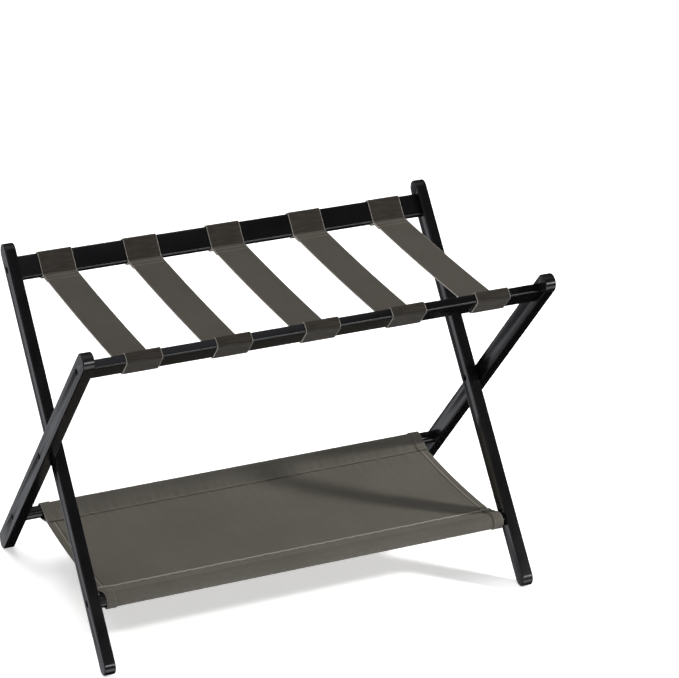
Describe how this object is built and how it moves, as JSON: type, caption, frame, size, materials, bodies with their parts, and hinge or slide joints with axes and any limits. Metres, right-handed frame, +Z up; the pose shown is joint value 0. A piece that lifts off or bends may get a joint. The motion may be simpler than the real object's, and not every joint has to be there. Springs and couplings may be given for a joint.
{
  "type": "folding luggage rack",
  "caption": "Folding wooden X-frame rack with webbing straps across the top to carry a suitcase and a fabric shelf slung between its lower rods.",
  "frame": {"origin": "on the floor, midway between the feet and midway between the end legs, under the pivot axis", "axes": "+X along the rails, -Y towards the front top rail, +Z up"},
  "size_m": [0.68, 0.4116, 0.4795],
  "materials": {
    "black_lacquered_wood": "satin black lacquer over beech",
    "beech_dowel": "bare fluted beech, hidden in the joints",
    "blackened_steel": "black oxide",
    "strap_webbing": "woven ribbed webbing, warm dark grey",
    "shelf_canvas": "plain-weave canvas, warm dark grey"
  },
  "bodies": {
    "outer_frame": {"outer_leg_left": "black_lacquered_wood", "outer_leg_right": "black_lacquered_wood", "front_top_rail": "black_lacquered_wood", "back_lower_rod": "black_lacquered_wood", "front_rail_dowels": "beech_dowel", "front_rail_screws": "blackened_steel", "back_rod_screws": "blackened_steel", "pivot_bolts": "blackened_steel", "pivot_sleeve_nuts": "blackened_steel", "pivot_washers": "blackened_steel", "strap_1_front_loop": "strap_webbing", "strap_2_front_loop": "strap_webbing", "strap_3_front_loop": "strap_webbing", "strap_4_front_loop": "strap_webbing", "strap_5_front_loop": "strap_webbing", "strap_1_span": "strap_webbing", "strap_2_span": "strap_webbing", "strap_3_span": "strap_webbing", "strap_4_span": "strap_webbing", "strap_5_span": "strap_webbing", "shelf_panel": "shelf_canvas", "shelf_back_sleeve": "shelf_canvas"},
    "inner_frame": {"inner_leg_left": "black_lacquered_wood", "inner_leg_right": "black_lacquered_wood", "back_top_rail": "black_lacquered_wood", "front_lower_rod": "black_lacquered_wood", "back_rail_dowels": "beech_dowel", "back_rail_screws": "blackened_steel", "front_rod_screws": "blackened_steel", "strap_1_back_loop": "strap_webbing", "strap_2_back_loop": "strap_webbing", "strap_3_back_loop": "strap_webbing", "strap_4_back_loop": "strap_webbing", "strap_5_back_loop": "strap_webbing", "shelf_front_sleeve": "shelf_canvas"}
  },
  "joints": [
    {"name": "fold", "type": "hinge", "parent": "outer_frame", "child": "inner_frame", "pos_m": [0, 0, 0.24281], "axis": [1, 0, 0], "range_deg": [0, 73]}
  ]
}
